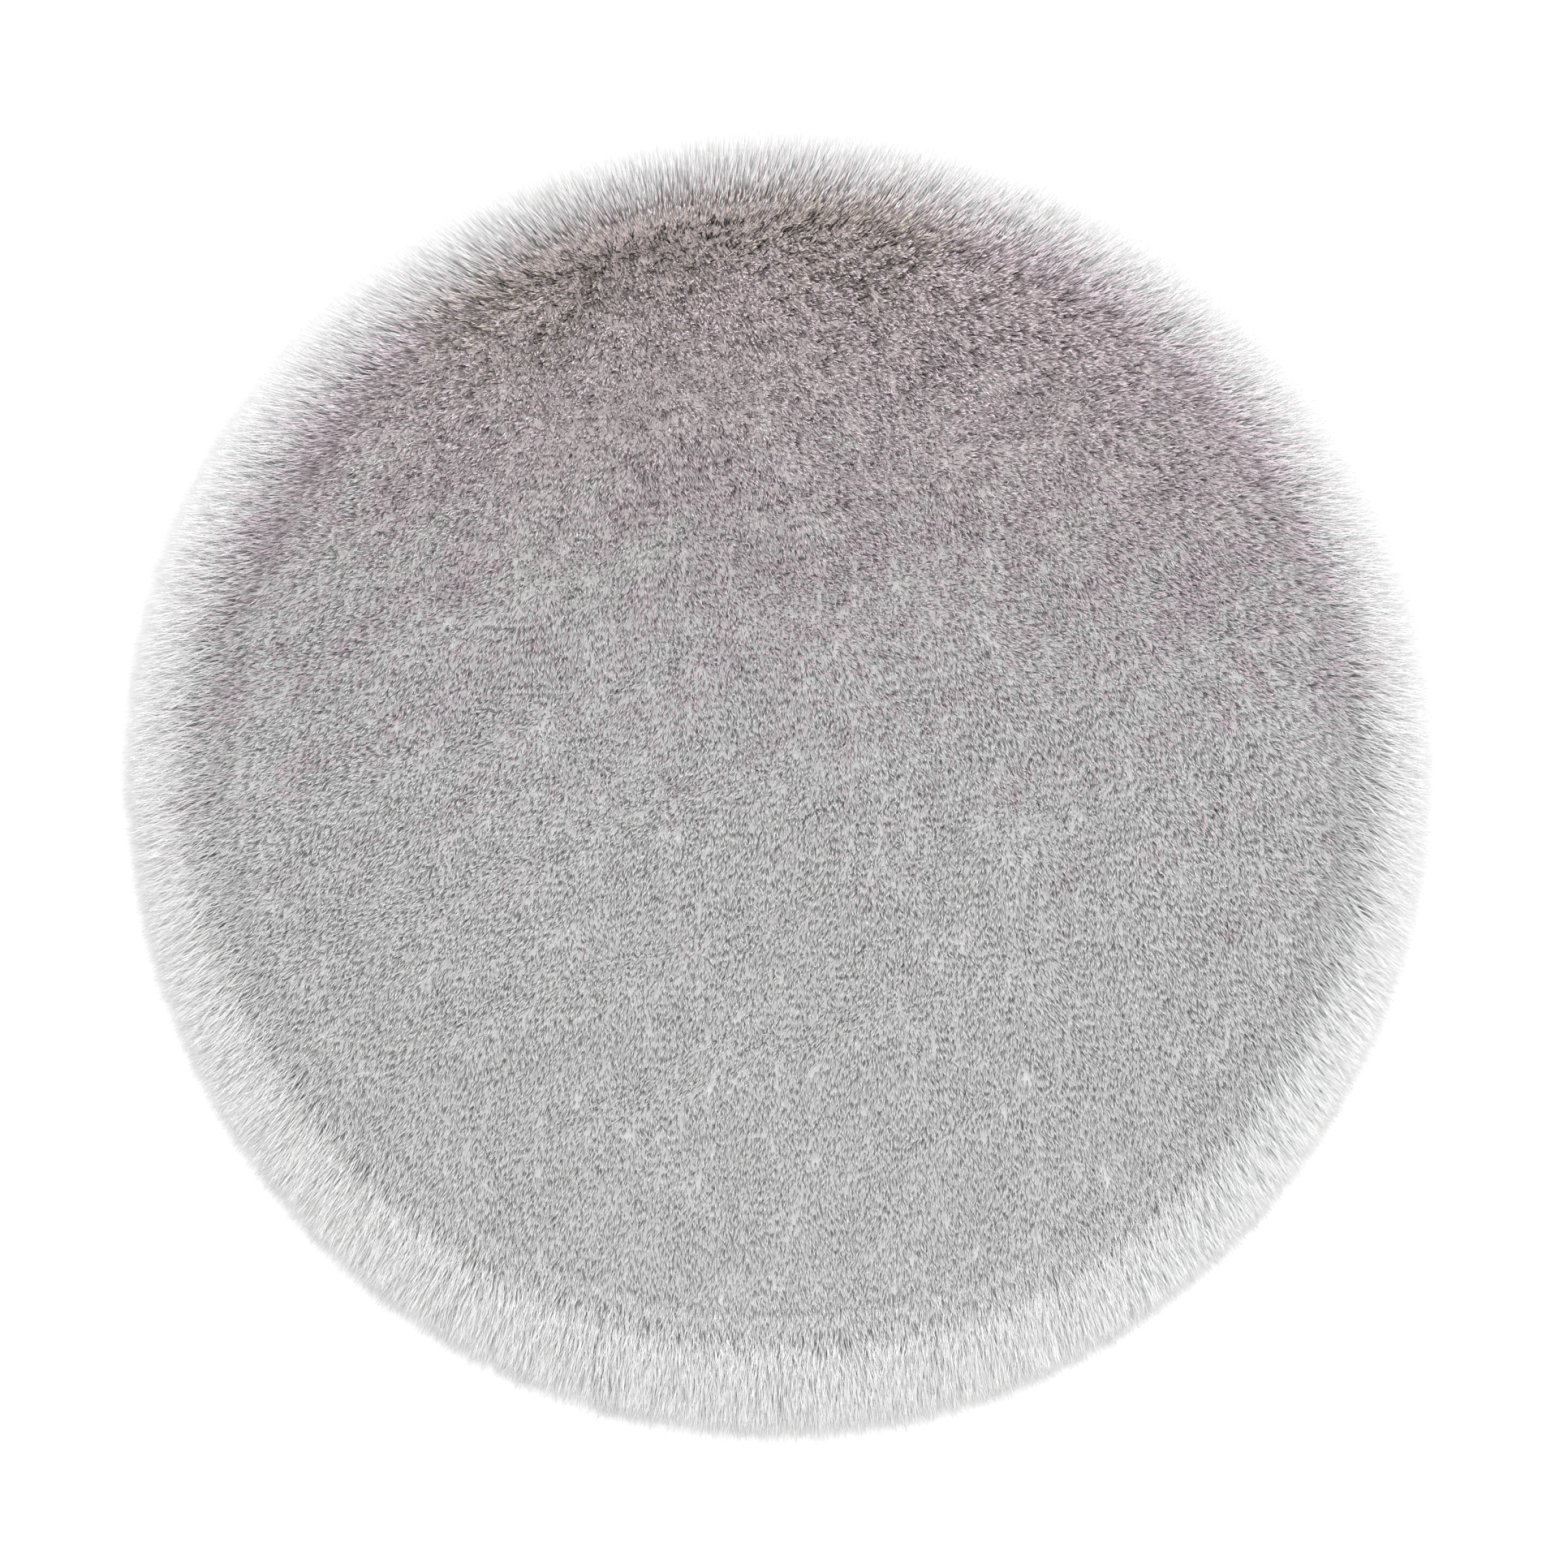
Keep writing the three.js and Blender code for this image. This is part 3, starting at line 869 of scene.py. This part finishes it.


# The dense pile between the hairs: fine dark strokes along the nap, which spreads from a point beyond the
# far side, over soft rows across it, both painted shade of the gaps in the pile. It has painted shade on the
# far side and painted light on the near side and at the edge. Underneath, a plain weave of two crossing
# waves.
def bodyMaterial():
    finish, cloth = bodyFinish, underFinish
    shade = Shade("dense_pile")
    place = shade.node("ShaderNodeTexCoord", output="Object")
    x, y, height = (shade.node("ShaderNodeSeparateXYZ", None, {0: place}, output=axis) for axis in "XYZ")
    ahead = finish["spread"] - y
    across = x.maths("ARCTAN2", ahead) * finish["spread"]
    along = (x * x + ahead * ahead).maths("SQRT")
    sockets = {"Vector": place, "Scale": finish["waverScale"], "Detail": finish["waverDetail"]}
    across = across + shade.node("ShaderNodeTexNoise", None, sockets, "Fac") * finish["waver"]
    farShare = shade.share(y, finish["far"])
    nearShare = shade.share(y, finish["near"])
    edgeShare = shade.share((x * x + y * y).maths("SQRT"), finish["edge"])

    rows = streaks(shade, across, along, height, finish["rows"])
    strokes = streaks(shade, across, along, height, finish["strokes"])
    cosine, sine = math.cos(finish["farTurn"]), math.sin(finish["farTurn"])
    turned = across * cosine - along * sine, along * cosine + across * sine
    farStrokes = streaks(shade, *turned, height, finish["strokes"])
    strokes = strokes + (farStrokes - strokes) * farShare
    strokeDepth = farShare * finish["farDeeper"] + finish["strokeDepth"] - nearShare * finish["nearFlatter"]
    # How pale the pile is, with dark strokes and rows as painted shade; it is also the height of the bump.
    depth = (strokes - finish["middle"]) * strokeDepth
    depth = depth + (rows - finish["middle"]) * finish["rowDepth"] + finish["middle"]
    # Painted light at the edge and on the near side, and painted shade on the far side.
    edgeLight = edgeShare ** (farShare * finish["edgePower"] + 1) * finish["edgeLight"]
    depth = depth - farShare * finish["farShade"] + nearShare * finish["nearLight"] + edgeLight
    depth = depth.maths("MINIMUM", edgeShare * finish["edgeLightest"] + finish["lightest"])
    pileColour = shade.node("ShaderNodeValToRGB", {"stops": finish["stops"]}, {"Fac": depth})
    pileColour = shade.mix(farShare, pileColour, finish["farSide"], "MULTIPLY")

    threads = (x * cloth["threads"]).maths("SINE") * (y * cloth["threads"]).maths("SINE")
    under = height.maths("LESS_THAN", cloth["height"])
    weave = shade.mix(threads * cloth["contrast"] + cloth["middle"], cloth["dark"], cloth["light"])
    sockets = {"Height": threads * under + depth * (1 - under), "Distance": finish["pileBump"]}
    bump = shade.node("ShaderNodeBump", None, sockets, "Normal")
    colour = shade.mix(under, pileColour, weave)
    return shade.finish(Base_Color=colour, Normal=bump, Roughness=finish["roughness"])


# Floor, light and camera

stage = {
    "floorSize": 6.0,
    "floorColour": (0.64, 0.64, 0.64),
    "floorRoughness": 0.9,
    "skyStrength": 1.50,
    "keyEnergy": 9.0,
    "keySize": 0.9,
    "keyPlace": (0.14, 0.34, 1.24),
}

photoView = {
    "pixels": 1932,
    "padMiddle": (964, 951),       # the pad's middle in the photograph, in pixels
    "metresPerPixel": 0.000239,
    "lens": 85.0,
    "sensor": 36.0,
}


# A square of paper, an even white sky, and one soft lamp that looks at the pad's middle: its tilt is the
# angle between its direction and straight down.
def floorAndLight():
    shade = Shade("floor_paper")
    paper = shade.finish(Base_Color=(*stage["floorColour"], 1), Roughness=stage["floorRoughness"])
    half = stage["floorSize"] / 2
    corners = np.array([(-half, -half, 0), (half, -half, 0), (half, half, 0), (-half, half, 0)])
    floor = meshObject("floor", corners, np.array([[0, 1, 2, 3]]))
    floor.data.materials.append(paper)
    world = bpy.data.worlds.new("studio")
    world.use_nodes = True
    sky = world.node_tree.nodes["Background"]
    sky.inputs["Color"].default_value = (1, 1, 1, 1)
    sky.inputs["Strength"].default_value = stage["skyStrength"]
    bpy.context.scene.world = world
    lamp = bpy.data.lights.new("key", "AREA")
    lamp.energy = stage["keyEnergy"]
    lamp.size = stage["keySize"]
    key = bpy.data.objects.new("key", lamp)
    key.location = stage["keyPlace"]
    direction = -np.array(stage["keyPlace"])
    tilt = math.acos(-direction[2] / np.linalg.norm(direction))
    key.rotation_euler = (0, tilt, math.atan2(-direction[1], -direction[0]))
    bpy.context.scene.collection.objects.link(key)


# The camera looks straight down, with the pad's middle where the photograph has it. It stands off by the
# width of the view times the lens over the sensor.
def photoCamera():
    size = photoView["pixels"] * photoView["metresPerPixel"]
    middle = photoView["pixels"] / 2
    x = (middle - photoView["padMiddle"][0]) * photoView["metresPerPixel"]
    y = (photoView["padMiddle"][1] - middle) * photoView["metresPerPixel"]
    lens = bpy.data.cameras.new("camera")
    lens.lens = photoView["lens"]
    lens.sensor_width = photoView["sensor"]
    camera = bpy.data.objects.new("camera", lens)
    distance = size * photoView["lens"] / photoView["sensor"]
    camera.location = (x, y, distance + crownHeight)
    bpy.context.scene.collection.objects.link(camera)
    bpy.context.scene.camera = camera


photoCamera()
floorAndLight()
bpy.context.scene.view_settings.view_transform = "Standard"
print("camera and light ready")

body = padBody()
filledPad(body)
body.data.materials.append(bodyMaterial())
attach(body, "root")
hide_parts("fur_pad")
print("pad ready")

hairLook = hairMaterial()
for name, kind in hairKinds.items():
    hairs = growHairs(name, kind)
    hairs.data.materials.append(hairLook)
    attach(hairs, "root")
    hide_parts("fur_pad")
print("pile ready")
